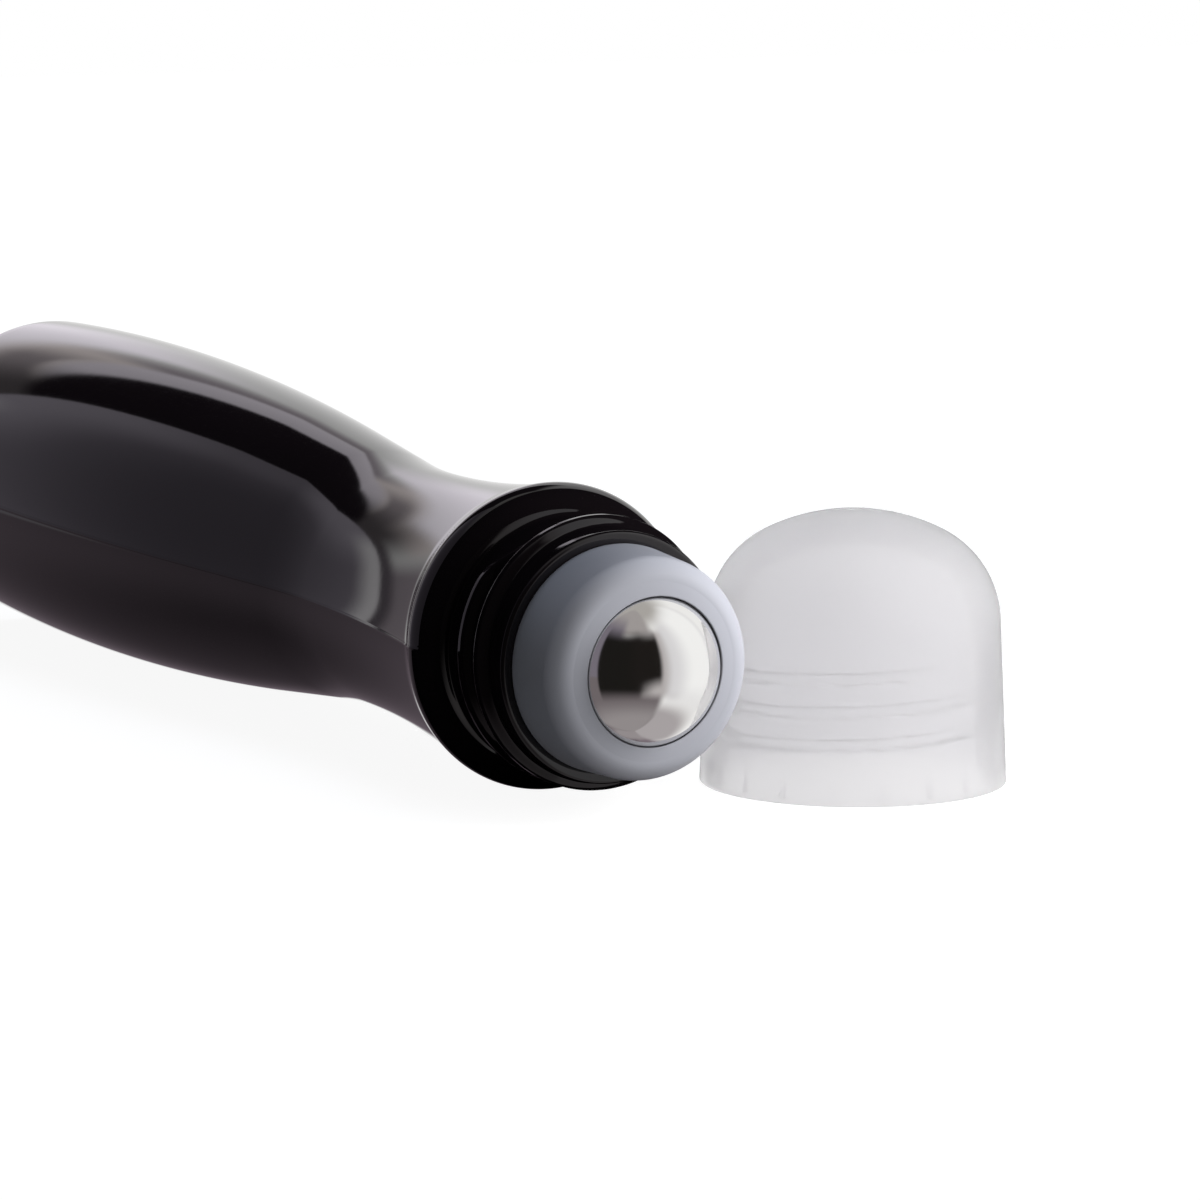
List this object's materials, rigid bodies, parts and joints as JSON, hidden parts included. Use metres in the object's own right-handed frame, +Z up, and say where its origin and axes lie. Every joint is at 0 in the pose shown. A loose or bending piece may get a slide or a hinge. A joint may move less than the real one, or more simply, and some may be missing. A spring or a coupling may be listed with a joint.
{
  "type": "roll on bottle",
  "caption": "Waisted roll-on bottle lying on its side with its screw cap off; a loose ball in a pressed-in housing closes the threaded neck.",
  "frame": {"origin": "middle of the footprint of the lying bottle and the standing cap, on the surface they rest on", "axes": "+X from the bottle's base towards its mouth, +Y from the bottle towards the cap, +Z up"},
  "size_m": [0.1502, 0.0608, 0.0351],
  "materials": {
    "bottle_gloss": "high gloss, almost black with a smoky brown tint",
    "housing_grey": "satin cool grey",
    "ball_steel": "mirror polished steel",
    "cap_frosted": "translucent, faintly frosted"
  },
  "bodies": {
    "bottle": {"bottle": "bottle_gloss", "ball_housing": "housing_grey"},
    "ball": {"roller_ball": "ball_steel"},
    "cap": {"cap": "cap_frosted"}
  },
  "joints": [
    {"name": "ball_roll", "type": "hinge", "parent": "bottle", "child": "ball", "pos_m": [0.06712, -0.01298, 0.01451], "axis": [0, 1, 0], "continuous": true},
    {"name": "cap_lift", "type": "slide", "parent": "bottle", "child": "cap", "axis": [0, 0, 1], "range_m": [0, 0.06]}
  ]
}
